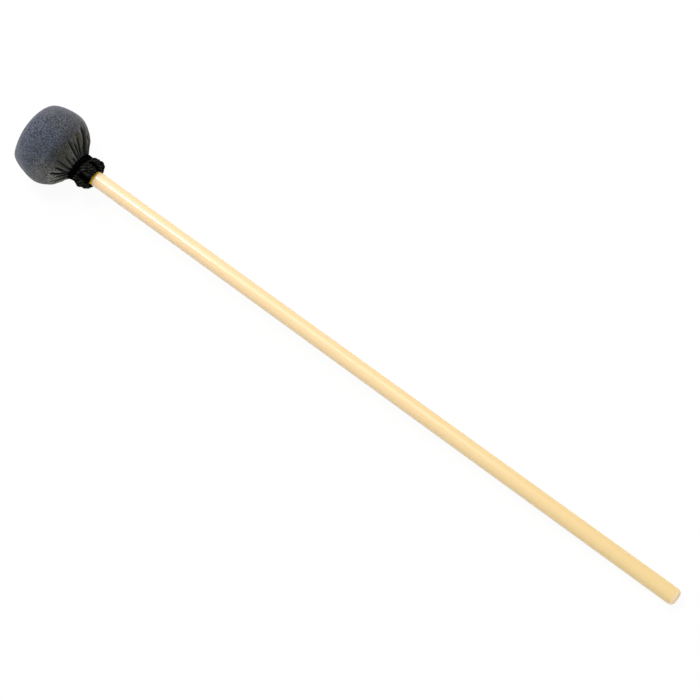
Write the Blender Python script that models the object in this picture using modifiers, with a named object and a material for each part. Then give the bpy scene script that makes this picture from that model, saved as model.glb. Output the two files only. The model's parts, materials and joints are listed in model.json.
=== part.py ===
"""Singing bowl striker: a suede-covered head bound to a tapered birch handle.

The handle lies along X. The origin is the centre of its flat butt end, +X points out of that end and the
head is at -X. Sizes are in millimetres, and stations are measured along the handle from the head's face.
"""

import math

import bpy
from mathutils import Vector

MM = 0.001

# Clearance between pieces that touch
FIT = 0.3

# Handle
HANDLE_LENGTH = 406.4
HANDLE_BUTT_DIAMETER = 9.4
HANDLE_TIP_DIAMETER = 8.3
BUTT_ROUNDING = 2.8
TIP_CHAMFER = 0.8
TIP_SETBACK = 14.6
HANDLE_SIDES = 32
ROUNDING_STEPS = 5

# Outline of the head
HEAD_LENGTH = 33.6
HEAD_DIAMETER = 41.7
BELLY_SETBACK = 16.5
FACE_FLAT_DIAMETER = 12.0
FACE_PULL = 9.3
BROW_PULL = 11.5
BACK_PULL = 8.5
NAPE_PULL = (5.0, 6.85)
OUTLINE_STEPS = 5
LINING_STEPS = 3
HEAD_SET_OVER = 1.3

# Suede cover, with its pleats and its bound neck
SUEDE_THICKNESS = 1.2
PLEATS = 16
PLEAT_SAMPLES = 3
PLEAT_START = 20.0
PLEAT_DEPTH = 1.5
PLEAT_RUN = 0.88
NECK_DIAMETER = 16.0
NECK_LENGTH = 3.2
GATHER_LENGTH = 3.5
TAIL_WALL = 0.8
BED_STEPS = 3

# Layers inside the cover
PAD_THICKNESS = 4.0
FELT_THICKNESS = 4.0
FELT_BACK = 2.8
LAYER_SIDES = 24

# Thread drawn round the handle inside the neck
TIE_DIAMETER = 0.7
TIE_SIDES = 6

# Thread bound round the neck
THREAD_DIAMETER = 0.6
THREAD_PITCH = 1.04

# Soft cord wound into the collar
CORD_DIAMETER = 2.0
COLLAR_DIAMETER = 18.8
COLLAR_REACH = 3.6
COLLAR_START_ANGLE = 141.0
COLLAR_TURNS = 3.2
LOOP_POINTS = 24

# Sizes that follow
OVERALL_LENGTH = HANDLE_LENGTH + TIP_SETBACK
HEAD_SIDES = PLEATS * PLEAT_SAMPLES
NECK_CORE_RADIUS = NECK_DIAMETER / 2 - THREAD_DIAMETER - FIT
COLLAR_START = HEAD_LENGTH + NECK_LENGTH


def clear_scene():
    for obj in list(bpy.data.objects):
        bpy.data.objects.remove(obj, do_unlink=True)


def make_collection(name):
    collection = bpy.data.collections.new(name)
    bpy.context.scene.collection.children.link(collection)
    return collection


def make_material(name, colour, roughness):
    material = bpy.data.materials.new(name)
    material.use_nodes = True
    shader = material.node_tree.nodes["Principled BSDF"]
    shader.inputs["Base Color"].default_value = (*colour, 1.0)
    shader.inputs["Roughness"].default_value = roughness
    shader.inputs["Metallic"].default_value = 0.0
    return material


def along(station):
    """Metres along the handle's line for a station, with the butt end at zero."""
    return (station - OVERALL_LENGTH) * MM


def handle_radius(station):
    """Radius of the tapered handle at a station."""
    share = (station - TIP_SETBACK) / HANDLE_LENGTH
    return (HANDLE_TIP_DIAMETER + (HANDLE_BUTT_DIAMETER - HANDLE_TIP_DIAMETER) * share) / 2


def smooth(share):
    """Ease from 0 to 1 with level ends."""
    share = min(max(share, 0.0), 1.0)
    return share * share * (3 - 2 * share)


def arc(centre, radii, start, end, steps):
    """Points on an ellipse's arc, from one angle to another in degrees."""
    points = []
    for step in range(steps + 1):
        angle = math.radians(start + (end - start) * step / steps)
        points.append(centre + Vector((radii[0] * math.cos(angle), radii[1] * math.sin(angle))))
    return points


def bezier(start, leave, arrive, end, steps):
    """Points on a cubic curve whose two handles are offsets from its ends."""
    first = start + leave
    second = end + arrive
    points = []
    for step in range(steps + 1):
        t = step / steps
        s = 1 - t
        point = start * s**3 + first * 3 * s * s * t + second * 3 * s * t * t + end * t**3
        points.append(point)
    return points


def inset(outline, distance):
    """The outline moved towards the handle's line by a distance square to itself."""
    moved = []
    for index, point in enumerate(outline):
        before = outline[max(index - 1, 0)]
        after = outline[min(index + 1, len(outline) - 1)]
        run = (after - before).normalized()
        moved.append(point + Vector((run.y, -run.x)) * distance)
    return moved


def clipped(outline, first, last):
    """The stretch of an outline between two stations."""
    kept = []
    for here, there in zip(outline, outline[1:]):
        span = there.x - here.x
        if span <= 0:
            continue
        low = max(here.x, first)
        high = min(there.x, last)
        if low >= high:
            continue
        if not kept:
            kept.append(here.lerp(there, (low - here.x) / span))
        kept.append(here.lerp(there, (high - here.x) / span))
    return kept


def turned(name, outline, sides, collection):
    """A solid turned on the handle's line, from an outline that runs from the head's face to the butt.

    Its profile starts half a side round, so that a facet and not an edge faces down.
    """
    profile = [Vector((outline[0].x, 0.0)), *outline, Vector((outline[-1].x, 0.0))]
    half_side = math.pi / sides
    corners = []
    for point in reversed(profile):
        x = point.y * math.cos(half_side) * MM
        y = point.y * math.sin(half_side) * MM
        corners.append((x, y, along(point.x)))
    edges = [(index, index + 1) for index in range(len(corners) - 1)]
    mesh = bpy.data.meshes.new(name)
    mesh.from_pydata(corners, edges, [])
    blank = bpy.data.objects.new(name, mesh)
    collection.objects.link(blank)
    screw = blank.modifiers.new("Turn", "SCREW")
    screw.axis = "Z"
    screw.angle = 2 * math.pi
    screw.steps = sides
    screw.render_steps = sides
    screw.use_merge_vertices = True
    screw.merge_threshold = 0.00001
    return blank


def as_mesh(obj):
    """Replace an object by its evaluated mesh, in its own axes."""
    bpy.context.view_layer.update()
    depsgraph = bpy.context.evaluated_depsgraph_get()
    mesh = bpy.data.meshes.new_from_object(obj.evaluated_get(depsgraph))
    collection = obj.users_collection[0]
    name = obj.name
    bpy.data.objects.remove(obj, do_unlink=True)
    solid = bpy.data.objects.new(name, mesh)
    collection.objects.link(solid)
    return solid


def place(obj, axis, material=None):
    """Hang a piece on the handle's line and give it its material."""
    obj.parent = axis
    if material:
        obj.data.materials.clear()
        obj.data.materials.append(material)
        obj.data.shade_smooth()
        obj.data.set_sharp_from_angle(angle=math.radians(35))


def cut(obj, cutter):
    boolean = obj.modifiers.new("Cut " + cutter.name, "BOOLEAN")
    boolean.operation = "DIFFERENCE"
    boolean.solver = "EXACT"
    boolean.object = cutter


def hide_cutter(obj):
    obj.hide_render = True
    obj.display_type = "WIRE"


def set_over(station):
    """How far the head stands to one side of the handle's line: fully at its belly, not at its neck."""
    share = (HEAD_LENGTH - station) / (HEAD_LENGTH - BELLY_SETBACK)
    return HEAD_SET_OVER * smooth(share)


def pleat_depth(station):
    """Depth of the folds between the pleats at a station."""
    share = (station - PLEAT_START) / (HEAD_LENGTH - PLEAT_START)
    if share <= 0 or share > 1:
        return 0.0
    return PLEAT_DEPTH * math.sin(math.pi * PLEAT_RUN * share)


def lean(obj, folded=False):
    """Move the mesh of a turned head piece to its true shape: set over, and folded into pleats."""
    for vertex in obj.data.vertices:
        station = vertex.co.z / MM + OVERALL_LENGTH
        radius = math.hypot(vertex.co.x, vertex.co.y) / MM
        angle = math.atan2(vertex.co.y, vertex.co.x)
        if folded and radius > 0:
            fold = (1 - math.cos(PLEATS * angle)) / 2
            radius -= pleat_depth(station) * fold
        vertex.co.x = radius * math.cos(angle) * MM
        vertex.co.y = (radius * math.sin(angle) + set_over(station)) * MM


def head_outline(steps):
    """Outside of the head, from the edge of its flat face over the belly to the neck."""
    face = Vector((0.0, FACE_FLAT_DIAMETER / 2))
    belly = Vector((BELLY_SETBACK, HEAD_DIAMETER / 2))
    nape = Vector((HEAD_LENGTH, NECK_DIAMETER / 2))
    nape_pull = Vector((-NAPE_PULL[0], NAPE_PULL[1]))
    front = bezier(face, Vector((0.0, FACE_PULL)), Vector((-BROW_PULL, 0.0)), belly, steps)
    back = bezier(belly, Vector((BACK_PULL, 0.0)), nape_pull, nape, steps)
    return front + back[1:]


def bag_lining():
    """Inside line of the pleats' folds, which the layers in the cover follow."""
    return [Vector((point.x, point.y - pleat_depth(point.x))) for point in head_outline(LINING_STEPS)]


def collar_lane():
    """Line that the collar's cord follows in section, from the neck down to the handle."""
    centre_station = COLLAR_START + CORD_DIAMETER / 2
    centre_station -= COLLAR_REACH * math.cos(math.radians(COLLAR_START_ANGLE))
    low = handle_radius(centre_station + COLLAR_REACH) + FIT + CORD_DIAMETER / 2
    high = COLLAR_DIAMETER / 2 - CORD_DIAMETER / 2
    return arc(Vector((centre_station, low)), (COLLAR_REACH, high - low), COLLAR_START_ANGLE, 0.0, LOOP_POINTS)


def tail_outline():
    """Outside of the cover's bound tail: the neck's core, a step, and the bed of the collar's cord."""
    bed_depth = CORD_DIAMETER / 2 + FIT
    lane = collar_lane()
    step = lane[0].x - bed_depth
    floor = lane[0].y - bed_depth
    bed = [point for point in inset(lane, bed_depth) if point.x > lane[0].x]
    thinnest = handle_radius(lane[-1].x) + FIT + TAIL_WALL
    bed = [point for point in bed if point.y >= thinnest]
    neck = [
        Vector((HEAD_LENGTH + FIT, NECK_CORE_RADIUS)),
        Vector((step, NECK_CORE_RADIUS)),
        Vector((step, floor)),
        Vector((lane[0].x, floor)),
    ]
    return neck + [along_line(bed, step / BED_STEPS) for step in range(BED_STEPS + 1)]


def along_line(points, share):
    """Point at a share of the length of a line."""
    lengths = [(b - a).length for a, b in zip(points, points[1:])]
    wanted = sum(lengths) * share
    for start, end, length in zip(points, points[1:], lengths):
        if wanted <= length:
            return start.lerp(end, wanted / length)
        wanted -= length
    return points[-1]


def on_circle(spot, angle):
    """Point round the handle's line, at a lane spot's station and radius."""
    return Vector((spot.y * math.cos(angle), spot.y * math.sin(angle), spot.x))


def wound_path(lane, turns, straight, start_angle):
    """Path of a cord wound evenly along a lane, with a straight run of a given length at each end."""
    steps = round(turns * LOOP_POINTS)
    step_angle = 2 * math.pi / LOOP_POINTS
    path = []
    for step in range(steps + 1):
        path.append(on_circle(along_line(lane, step / steps), start_angle + step * step_angle))
    end_angle = start_angle + steps * step_angle
    lead_in = 2 * math.asin(straight / 2 / lane[0].y)
    lead_out = 2 * math.asin(straight / 2 / lane[-1].y)
    first = on_circle(lane[0], start_angle - lead_in)
    last = on_circle(lane[-1], end_angle + lead_out)
    return [first, *path, last]


def least_gap(path, diameter):
    """Least gap between the turns of a wound cord, measured on its points."""
    apart = LOOP_POINTS // 2
    gaps = [
        (here - there).length - diameter
        for index, here in enumerate(path)
        for there in path[index + apart :]
    ]
    return min(gaps)


def tube(name, path, diameter, collection):
    """One unbroken cord along a path."""
    print(f"{name}: least gap to itself {least_gap(path, diameter):.2f} mm")
    curve = bpy.data.curves.new(name, "CURVE")
    curve.dimensions = "3D"
    curve.bevel_depth = diameter / 2 * MM
    curve.bevel_resolution = 1
    curve.use_fill_caps = True
    spline = curve.splines.new("POLY")
    spline.points.add(len(path) - 1)
    for point, spot in zip(spline.points, path):
        point.co = (spot.x * MM, spot.y * MM, along(spot.z), 1.0)
    cord = bpy.data.objects.new(name, curve)
    collection.objects.link(cord)
    return cord


def place_curve(obj, axis, material):
    obj.parent = axis
    obj.data.materials.append(material)


def bore(name, first, last, axis, cutters):
    """Cutter for the handle's hole between two stations."""
    radius = handle_radius(last) + FIT
    outline = [Vector((first, radius)), Vector((last, radius))]
    cutter = turned(name, outline, LAYER_SIDES, cutters)
    place(cutter, axis)
    hide_cutter(cutter)
    return cutter


def build_handle(axis, parts, material):
    tip = TIP_SETBACK
    butt = OVERALL_LENGTH
    shoulder = Vector((butt - BUTT_ROUNDING, handle_radius(butt) - BUTT_ROUNDING))
    outline = [
        Vector((tip, handle_radius(tip) - TIP_CHAMFER)),
        Vector((tip + TIP_CHAMFER, handle_radius(tip))),
        *arc(shoulder, (BUTT_ROUNDING, BUTT_ROUNDING), 90.0, 0.0, ROUNDING_STEPS),
    ]
    handle = turned("handle", outline, HANDLE_SIDES, parts)
    place(handle, axis, material)


def build_cover(axis, parts, cutters, material):
    outline = head_outline(OUTLINE_STEPS) + tail_outline()
    cover = as_mesh(turned("cover", outline, HEAD_SIDES, parts))
    lean(cover, folded=True)
    place(cover, axis, material)
    cut(cover, build_cavity(axis, cutters))
    cut(cover, bore("cover_bore", HEAD_LENGTH - GATHER_LENGTH - FIT, COLLAR_START * 2, axis, cutters))
    cut(cover, build_tie_groove(axis, cutters))


def build_cavity(axis, cutters):
    """Cutter for the room that the padded core takes up in the cover."""
    lining = inset(bag_lining(), SUEDE_THICKNESS)
    cavity = as_mesh(turned("cavity", clipped(lining, 0.0, cavity_end()), LAYER_SIDES, cutters))
    lean(cavity)
    place(cavity, axis)
    hide_cutter(cavity)
    return cavity


def cavity_end():
    return HEAD_LENGTH - GATHER_LENGTH


def pad_end():
    """Station of the back of the front pad."""
    return SUEDE_THICKNESS + FIT + PAD_THICKNESS


def build_front_pad(axis, parts, material):
    line = inset(bag_lining(), SUEDE_THICKNESS + FIT)
    pad = as_mesh(turned("front_pad", clipped(line, 0.0, pad_end()), LAYER_SIDES, parts))
    lean(pad)
    place(pad, axis, material)


def core_outline(extra):
    """Outside of the rubber core, made larger by a clearance."""
    depth = SUEDE_THICKNESS + FIT + FELT_THICKNESS + FIT - extra
    return inset(bag_lining(), depth)


def core_end():
    return cavity_end() - FIT - FELT_BACK - FIT


def build_core(axis, parts, cutters, material):
    line = clipped(core_outline(0.0), pad_end() + FIT, core_end())
    core = as_mesh(turned("core", line, LAYER_SIDES, parts))
    lean(core)
    place(core, axis, material)
    cut(core, bore("core_bore", TIP_SETBACK - FIT, HEAD_LENGTH, axis, cutters))


def build_felt_wrap(axis, parts, cutters, material):
    line = clipped(inset(bag_lining(), SUEDE_THICKNESS + FIT), pad_end() + FIT, cavity_end() - FIT)
    felt = as_mesh(turned("felt_wrap", line, LAYER_SIDES, parts))
    lean(felt)
    place(felt, axis, material)
    room = clipped(core_outline(FIT), 0.0, core_end() + FIT)
    seat = as_mesh(turned("core_seat", room, LAYER_SIDES, cutters))
    lean(seat)
    place(seat, axis)
    hide_cutter(seat)
    cut(felt, seat)
    cut(felt, bore("felt_bore", core_end(), HEAD_LENGTH, axis, cutters))


def tie_station():
    return HEAD_LENGTH + NECK_LENGTH / 2


def tie_radius():
    """Radius of the tie's centre line, clear of the handle."""
    return handle_radius(tie_station()) + FIT + TIE_DIAMETER / 2


def build_tie_groove(axis, cutters):
    half_width = TIE_DIAMETER / 2 + FIT
    depth = tie_radius() + TIE_DIAMETER / 2 + FIT
    outline = [
        Vector((tie_station() - half_width, depth)),
        Vector((tie_station() + half_width, depth)),
    ]
    groove = turned("tie_groove", outline, LAYER_SIDES, cutters)
    place(groove, axis)
    hide_cutter(groove)
    return groove


def build_tie_thread(axis, parts, material):
    bpy.ops.mesh.primitive_torus_add(
        major_radius=tie_radius() * MM,
        minor_radius=TIE_DIAMETER / 2 * MM,
        major_segments=LAYER_SIDES,
        minor_segments=TIE_SIDES,
    )
    tie = bpy.context.object
    for collection in list(tie.users_collection):
        collection.objects.unlink(tie)
    parts.objects.link(tie)
    tie.name = "tie_thread"
    tie.location.z = along(tie_station())
    place(tie, axis, material)


def build_neck_binding(axis, parts, material):
    radius = NECK_CORE_RADIUS + FIT + THREAD_DIAMETER / 2
    first = HEAD_LENGTH + FIT + THREAD_DIAMETER / 2
    last = tail_outline()[1].x - THREAD_DIAMETER / 2
    turns = (last - first) / THREAD_PITCH
    lane = [Vector((first, radius)), Vector((last, radius))]
    path = wound_path(lane, turns, THREAD_DIAMETER, math.pi / 2)
    place_curve(tube("neck_binding", path, THREAD_DIAMETER, parts), axis, material)


def build_collar(axis, parts, material):
    path = wound_path(collar_lane(), COLLAR_TURNS, CORD_DIAMETER, 0.0)
    place_curve(tube("collar", path, CORD_DIAMETER, parts), axis, material)


def build_striker():
    clear_scene()
    parts = make_collection("singing_bowl_striker")
    cutters = make_collection("cutters")
    birch = make_material("birch", (0.88, 0.69, 0.39), 0.22)
    suede = make_material("suede", (0.085, 0.09, 0.10), 0.92)
    rubber = make_material("rubber", (0.03, 0.03, 0.03), 0.6)
    felt = make_material("felt", (0.62, 0.60, 0.55), 0.95)
    pad_felt = make_material("pad_felt", (0.68, 0.66, 0.60), 0.95)
    thread = make_material("black_thread", (0.008, 0.008, 0.008), 0.6)
    tie = make_material("tie_thread", (0.25, 0.24, 0.22), 0.8)
    cord = make_material("black_cord", (0.012, 0.012, 0.013), 0.7)

    axis = bpy.data.objects.new("handle_line", None)
    axis.rotation_euler = (0.0, math.pi / 2, 0.0)
    parts.objects.link(axis)

    build_handle(axis, parts, birch)
    build_core(axis, parts, cutters, rubber)
    build_felt_wrap(axis, parts, cutters, felt)
    build_front_pad(axis, parts, pad_felt)
    build_cover(axis, parts, cutters, suede)
    build_tie_thread(axis, parts, tie)
    build_neck_binding(axis, parts, thread)
    build_collar(axis, parts, cord)
    bpy.context.view_layer.update()


build_striker()
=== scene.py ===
"""Looks of the singing bowl striker: suede-covered head, bound neck, cord collar and lacquered birch handle.

The handle lies along X, with its butt end at the origin and the head at -X. Sizes are in millimetres.
Stations are measured along the handle from the head's face. Angles round the handle are in degrees, from
the side that faces the camera, and grow towards the upper right of the picture.
"""

import json
import math

import bmesh
import bpy
import numpy as np
from mathutils import Matrix, Vector, noise

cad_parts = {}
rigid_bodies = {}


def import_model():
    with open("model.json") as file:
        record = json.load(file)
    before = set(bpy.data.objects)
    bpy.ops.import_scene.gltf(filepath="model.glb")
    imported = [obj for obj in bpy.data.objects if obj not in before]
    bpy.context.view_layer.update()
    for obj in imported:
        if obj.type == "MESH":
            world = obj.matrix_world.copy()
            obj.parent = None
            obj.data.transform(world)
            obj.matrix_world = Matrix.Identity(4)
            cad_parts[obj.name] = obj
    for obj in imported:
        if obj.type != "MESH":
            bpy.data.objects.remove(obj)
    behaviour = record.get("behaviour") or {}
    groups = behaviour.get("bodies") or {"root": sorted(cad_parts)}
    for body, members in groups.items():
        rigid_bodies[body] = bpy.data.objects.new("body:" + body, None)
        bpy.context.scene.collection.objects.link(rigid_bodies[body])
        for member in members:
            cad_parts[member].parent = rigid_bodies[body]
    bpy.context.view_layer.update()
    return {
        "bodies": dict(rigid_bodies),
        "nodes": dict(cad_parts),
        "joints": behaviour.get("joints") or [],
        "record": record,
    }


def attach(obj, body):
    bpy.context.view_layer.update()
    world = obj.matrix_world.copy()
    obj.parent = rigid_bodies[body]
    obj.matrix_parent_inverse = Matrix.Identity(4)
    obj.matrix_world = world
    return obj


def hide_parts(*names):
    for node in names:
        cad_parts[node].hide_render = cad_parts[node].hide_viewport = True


MM = 0.001

# Outline of the part, as in its source
OVERALL_LENGTH = 421.0
HANDLE_LENGTH = 406.4
HANDLE_TIP_DIAMETER = 8.3
HANDLE_BUTT_DIAMETER = 9.4
TIP_SETBACK = 14.6
TIP_CHAMFER = 0.8
BUTT_ROUNDING = 2.8
HEAD_LENGTH = 33.6
HEAD_DIAMETER = 41.7
BELLY_SETBACK = 16.5
FACE_FLAT_DIAMETER = 12.0
FACE_PULL = 9.3
BROW_PULL = 11.5
BACK_PULL = 8.5
NAPE_PULL = (5.0, 6.85)
HEAD_SET_OVER = 1.3
NECK_DIAMETER = 16.0
SUEDE_THICKNESS = 1.2
PLEAT_START = 20.0
PLEAT_DEPTH = 1.5
PLEAT_RUN = 0.88
GATHER_LENGTH = 3.5
FIT = 0.3

# Directions round the handle: towards the camera, and towards the upper right of the picture
FACING = np.array((0.0, -0.2288, 0.9734))
UPPER = np.array((0.0, 0.9734, 0.2288))

# Cover: its rings and columns, its tilted neck, its bound tail and its inside
COVER_COLUMNS = 420
OUTLINE_STEPS = 80
FACE_STEP = 0.9
FRONT_STEP = 0.5
BACK_STEP = 0.26
POLE_RADIUS = 0.5
NECK_TILT = 0.5
NECK_TILT_START = 25.0
BOUND_END = 35.2
TAIL_RADIUS = 7.1
TAIL_LINE = [(36.6, TAIL_RADIUS), (37.3, 6.8), (38.5, 6.1), (40.5, 6.1), (42.0, 5.8), (43.4, 5.2)]
TAIL_END = 44.1
TAIL_MOUTH = 43.0
TAIL_FIT = 0.1
LINING_SKIP = 5
LINING_CLEARANCE = 0.3

# Section of a fold: its sharp middle, its wide foot, the strength of the painted shade down its crease, the
# lips beside it, and the ridges between folds
FOLD_GAIN = 1.9
FOLD_WIDTH = 0.46
FOLD_FOOT = 1.35
FOLD_FOOT_SHARE = 0.32
FOLD_FADE = 3.0
CREASE_SHADE_SHARE = 1.3
LIP_PLACE = 1.05
LIP_WIDTH = 0.55
LIP_HEIGHT = 0.4
LIP_CLEAR = 1.1
RIDGE_RISE = 0.3
RIDGE_START = 25.0

# Folds on the side that the photograph shows: depth, width, then station and angle from neck to end
FOLD_ROOT = 34.0
SEEN_FOLDS = [
    (0.95, 1.0, [(FOLD_ROOT, -13), (32.9, -10), (31.4, -6), (29.6, -3), (28.2, -1)]),
    (1.00, 1.0, [(FOLD_ROOT, -31), (32.6, -28), (30.9, -22), (28.4, -18), (26.2, -16)]),
    (1.15, 1.15, [(FOLD_ROOT, -49), (32.9, -46), (30.9, -38), (29.1, -34), (26.9, -33)]),
    (1.20, 1.2, [(FOLD_ROOT, -56), (32.4, -53), (29.9, -50), (27.9, -49), (25.4, -50)]),
    (0.75, 1.3, [(FOLD_ROOT, -66), (31.8, -63), (29.2, -62), (27.4, -62)]),
    (0.75, 1.5, [(FOLD_ROOT, -79), (31.5, -77), (28.4, -76), (26.4, -77)]),
    (0.60, 1.0, [(FOLD_ROOT, 4), (32.4, 6), (30.2, 9)]),
    (1.15, 1.0, [(FOLD_ROOT, 21), (30.9, 21), (28.7, 22), (26.4, 24), (24.6, 25)]),
    (0.70, 1.0, [(FOLD_ROOT, 32), (31.5, 32), (29.3, 32), (27.0, 30)]),
    (0.90, 1.1, [(FOLD_ROOT, 42), (31.6, 41), (30.1, 43), (26.9, 45), (25.9, 46)]),
    (1.40, 2.1, [(FOLD_ROOT, 59), (32.3, 62), (29.5, 66), (27.0, 69), (23.4, 68)]),
    (0.50, 1.2, [(FOLD_ROOT, 51), (32.0, 52), (29.6, 54)]),
    (0.80, 1.4, [(FOLD_ROOT, 89), (31.0, 90), (28.0, 90), (25.6, 89)]),
]

# Folds round the unseen side: their number and place, and the spans that their sizes are drawn from
UNSEEN_FOLDS = 11
UNSEEN_FOLD_ANGLES = (98.0, 272.0)
UNSEEN_FOLD_SHIFT = 0.22
UNSEEN_FOLD_DEPTHS = (0.7, 1.2)
UNSEEN_FOLD_LENGTHS = (4.5, 8.5)
UNSEEN_FOLD_DRIFT = 6.0
UNSEEN_FOLD_BEND = 0.6
UNSEEN_FOLD_WIDTH = 1.2
FOLD_SEED = 7

# Places where the padding stands out or draws in: height, station, angle, spread along the head and round it
HEAD_SWELLS = [
    (0.42, 5.0, -88.0, 4.5, 32.0),
    (0.60, 2.8, -86.0, 2.4, 30.0),
    (0.80, 17.5, -90.0, 6.0, 36.0),
    (-0.45, 11.5, 90.0, 6.0, 36.0),
    (0.30, 3.2, 90.0, 2.4, 30.0),
]

# Small relief: puckers at the neck, and lumps and dimples of the padding
PUCKER_COUNTS = (37, 44, 53, 61)
PUCKER_DEPTH = 0.5
PUCKER_FADE = 2.2
PADDING_START = 4.0
PADDING_SIZE = 11.0
PADDING_HEIGHT = 0.3
DIMPLE_SIZE = 3.2
DIMPLE_HEIGHT = 0.07

# Cloth simulation of the cover, on a coarse copy that is this many times its size
SETTLE_SCALE = 25.0
SETTLE_ROWS = 80
SETTLE_COLUMN_STEP = 3
SETTLE_FRAMES = 20
SETTLE_CAP = 0.8
SETTLE_SMOOTHING = 3
HELD_DEPTH = 0.7
HELD_NECK = (32.6, 33.8)
HELD_FRONT = (10.0, 19.0)
SLACK_PART = (17.0, 27.0)
CLOTH = {
    "quality": 6,
    "mass": 0.3,
    "tension_stiffness": 15.0,
    "compression_stiffness": 15.0,
    "shear_stiffness": 5.0,
    "bending_stiffness": 0.5,
    "vertex_group_mass": "held",
    "vertex_group_shrink": "tight",
    "shrink_min": -0.06,
    "shrink_max": 0.0,
    "use_pressure": True,
    "uniform_pressure_force": 4.0,
}

# Handle: its rings, and how near they come to the edges of the tip and the butt
HANDLE_COLUMNS = 96
HANDLE_RINGS = 20
BUTT_RINGS = 12
BUTT_APPROACH = 1.2
BUTT_FLAT_SHARES = (0.94, 0.6, 0.15)
EDGE_HOLD = 0.05

# Cords: share of their thickness at their very ends
CORD_END = 0.02

# Neck binding: its thread with the depth and pitch of its plies, and its turns
THREAD_DIAMETER = 0.56
THREAD_SIDES = 12
THREAD_PLIES = (0.3, 1.6)
BINDING_START = 33.35
BINDING_END = 36.7
BINDING_RADIUS = 7.5
BINDING_TURNS = 11.5
BINDING_PER_TURN = 150
BINDING_FIRST_ANGLE = 200.0
BINDING_WAVES = (0.37, 1.21, 2.6)
BINDING_SWAY = 0.07
BINDING_HEAP = 0.6
BINDING_HEAP_WIDTH = 1.4
BINDING_LAYER = 0.28

# The thread's way: share of its length, station, and height above the inner layer
BINDING_WAY = [
    (0.0, BINDING_START, 0.0),
    (0.56, BINDING_END, 0.0),
    (0.60, BINDING_END - 0.1, BINDING_LAYER),
    (0.97, BINDING_START + 0.2, BINDING_LAYER),
    (1.0, BINDING_START + 0.3, BINDING_LAYER - 0.1),
]

# Collar: its cord, with plies, lumps and creases
CORD_DIAMETER = 2.2
CORD_FLATNESS = 1.08
CORD_SIDES = 36
CORD_PLIES = (0.36, 5.0)
LUMP_SIZE = 2.4
CREASE_SIZE = 1.1
CREASE_HEIGHT = 0.6
CRUMPLE = 0.1

# Collar: its arched lane from the neck to the handle, its turns, and how unevenly they lie
COLLAR_CENTRE = (41.0, 5.49)
COLLAR_REACH = 3.4
COLLAR_START_ANGLE = 166.0
COLLAR_FULLNESS = 0.75
COLLAR_TURNS = 9.3
COLLAR_PER_TURN = 150
COLLAR_FIRST_ANGLE = 264.0
COLLAR_LAYER = 1.25
COLLAR_TUCK = 0.5
COLLAR_WAVES = (1.31, 2.17, 3.43)
COLLAR_SWELL_WAVE = 1.7
COLLAR_SWAY = 0.045
COLLAR_HEAVE = 0.3
COLLAR_SWELL = 0.14
COLLAR_MIDDLE = 8.0
COLLAR_SQUEEZE = 0.2
# Radius below which, and rise over which, the cord takes painted shade in the clefts and where buried
COLLAR_CLEFT_SHADE_RADIUS = 6.4
COLLAR_CLEFT_SHADE_RISE = 1.8

# The cord's way: share of its length, place on the lane, and layers that it lies below the outer one
COLLAR_WAY = [
    (0.0, 0.12, 1.0),
    (0.34, 0.86, 1.0),
    (0.39, 0.98, 0.0),
    (0.92, 0.0, 0.0),
    (0.95, 0.12, -0.35),
    (0.98, 0.5, -0.35),
    (1.0, 0.66, 0.4),
]

# Lobes and clefts of the collar: angle, then its radius, or how far its start or end shifts along the handle
COLLAR_PEAKS = [
    (-150, 8.1), (-115, 7.1), (-80, 7.8), (-55, 8.5), (-25, 6.3), (-2, 8.5), (18, 8.5), (42, 6.7),
    (66, 8.4), (98, 8.1), (135, 6.9), (175, 8.2),
]
COLLAR_STARTS = [
    (-90, -1.2), (-58, -1.3), (-25, 1.2), (0, -0.3), (20, -0.3), (42, 0.9), (72, 0.4), (140, 0.0),
]
COLLAR_ENDS = [(-80, 0.4), (-25, 0.0), (5, -0.4), (42, -0.6), (75, 0.0), (140, 0.0)]

# Camera, at the photograph's distance and viewing angle
MM_PER_PIXEL = 0.5187
FRAME_PIXELS = 700
CAMERA_AZIMUTH = 37.0
CAMERA_ELEVATION = 73.6
CAMERA_DISTANCE = 1.5561
SENSOR_WIDTH = 36.0
FOCAL_PIXELS = 3000
VIEW_CENTRE = Vector((-0.2116, 0.0, 0.0))
VIEW_SHIFT = (5.8, 8.1)

# Suede: colours, among them painted light on its lower back, painted highlight on its ridges and lips, and
# painted shade in its folds and on its bound tail, then the stations, fold depths or distances to a side
# over which they change, and its relief
SUEDE_FRONT = (0.052, 0.060, 0.081)
SUEDE_MIDDLE = (0.041, 0.0475, 0.061)
SUEDE_BACK = (0.0185, 0.0182, 0.015)
SUEDE_LOWER_PAINTED_LIGHT = (0.072, 0.072, 0.069)
SUEDE_UPPER_TINT = (1.14, 1.03, 0.92)
SUEDE_SHEEN = 0.22
SUEDE_SHEEN_TINT = (0.93, 0.96, 1.0)
SUEDE_ROUGHNESS = (0.88, 1.0)
TAIL_PAINTED_SHADE = (0.003, 0.003, 0.003)
RIDGE_PAINTED_HIGHLIGHT = (2.6, 2.6, 2.45)
RIDGE_HIGHLIGHT_SHARE = 0.8
FOLD_PAINTED_SHADE = (0.02, 0.019, 0.015)
FOLD_SHADE_SPAN = (0.08, 0.62)
FLAT_HIGHLIGHT_SPAN = (0.25, 0.0)
LIP_HIGHLIGHT_SPAN = (-0.04, -0.3)
NECK_FOLD_SHADE = 1.5
MIDDLE_ZONE = (7.0, 17.0)
BACK_ZONE = (19.5, 28.5)
LOWER_LIGHT_ZONE = (15.0, 22.0)
LOWER_LIGHT_SIDE = (-5.5 * MM, -12.5 * MM)
UPPER_SIDE = (6.0 * MM, 12.0 * MM)
RIDGE_HIGHLIGHT_ZONE = (25.0, 31.0)
FOLD_SHADE_ZONE = (24.0, 32.5)
TAIL_SHADE_ZONE = (33.2, 34.2)
ZONE_DRIFT = 2.0 * MM
NAP_BUMP = (0.5, 0.35 * MM)
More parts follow.
